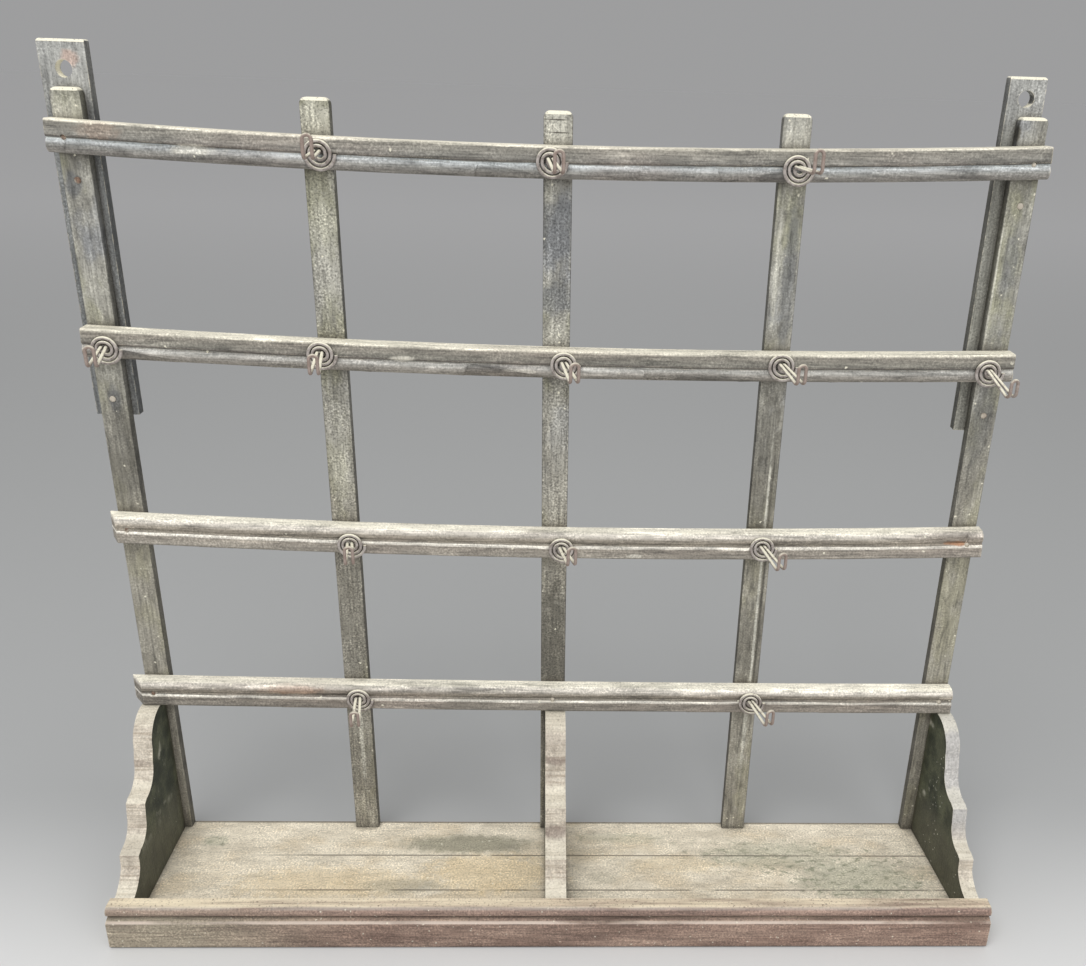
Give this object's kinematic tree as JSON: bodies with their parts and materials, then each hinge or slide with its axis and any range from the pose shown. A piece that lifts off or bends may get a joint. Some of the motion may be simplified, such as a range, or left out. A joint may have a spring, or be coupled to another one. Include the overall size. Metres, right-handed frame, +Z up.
{
  "type": "wall key holder",
  "caption": "Wooden wall key rack: lattice of stiles and moulded rails with spiral wire hooks above a lipped shelf on scrolled brackets.",
  "frame": {"origin": "on the wall, midway between the two hanging holes", "axes": "+X to the right along the rails, +Y into the wall, +Z up"},
  "size_m": [0.6296, 0.123, 0.5889],
  "materials": {
    "stile_wood": "worn grey-green paint, dusty",
    "rail_wood": "worn paint, pale on the arrises",
    "hanger_wood": "worn grey paint",
    "shelf_wood": "dusty bare board",
    "lip_wood": "worn red-brown paint",
    "bracket_wood": "dark green paint, bare pale edges",
    "hook_wire": "rusted wire",
    "nail_iron": "rusted nail"
  },
  "bodies": {
    "root": {"stile_far_left": "stile_wood", "stile_left": "stile_wood", "stile_middle": "stile_wood", "stile_right": "stile_wood", "stile_far_right": "stile_wood", "rail_bottom": "rail_wood", "rail_lower": "rail_wood", "rail_upper": "rail_wood", "rail_top": "rail_wood", "hanger_left": "hanger_wood", "hanger_right": "hanger_wood", "shelf_back_board": "shelf_wood", "shelf_middle_board": "shelf_wood", "shelf_front_board": "shelf_wood", "shelf_lip": "lip_wood", "bracket_left": "bracket_wood", "bracket_middle": "bracket_wood", "bracket_right": "bracket_wood", "rail_brads": "nail_iron", "hanger_nails": "nail_iron", "shelf_nails": "nail_iron", "hook_top_left": "hook_wire", "hook_top_middle": "hook_wire", "hook_top_right": "hook_wire", "hook_upper_far_left": "hook_wire", "hook_upper_left": "hook_wire", "hook_upper_middle": "hook_wire", "hook_upper_right": "hook_wire", "hook_upper_far_right": "hook_wire", "hook_lower_left": "hook_wire", "hook_lower_middle": "hook_wire", "hook_lower_right": "hook_wire", "hook_bottom_left": "hook_wire", "hook_bottom_right": "hook_wire"}
  },
  "joints": []
}
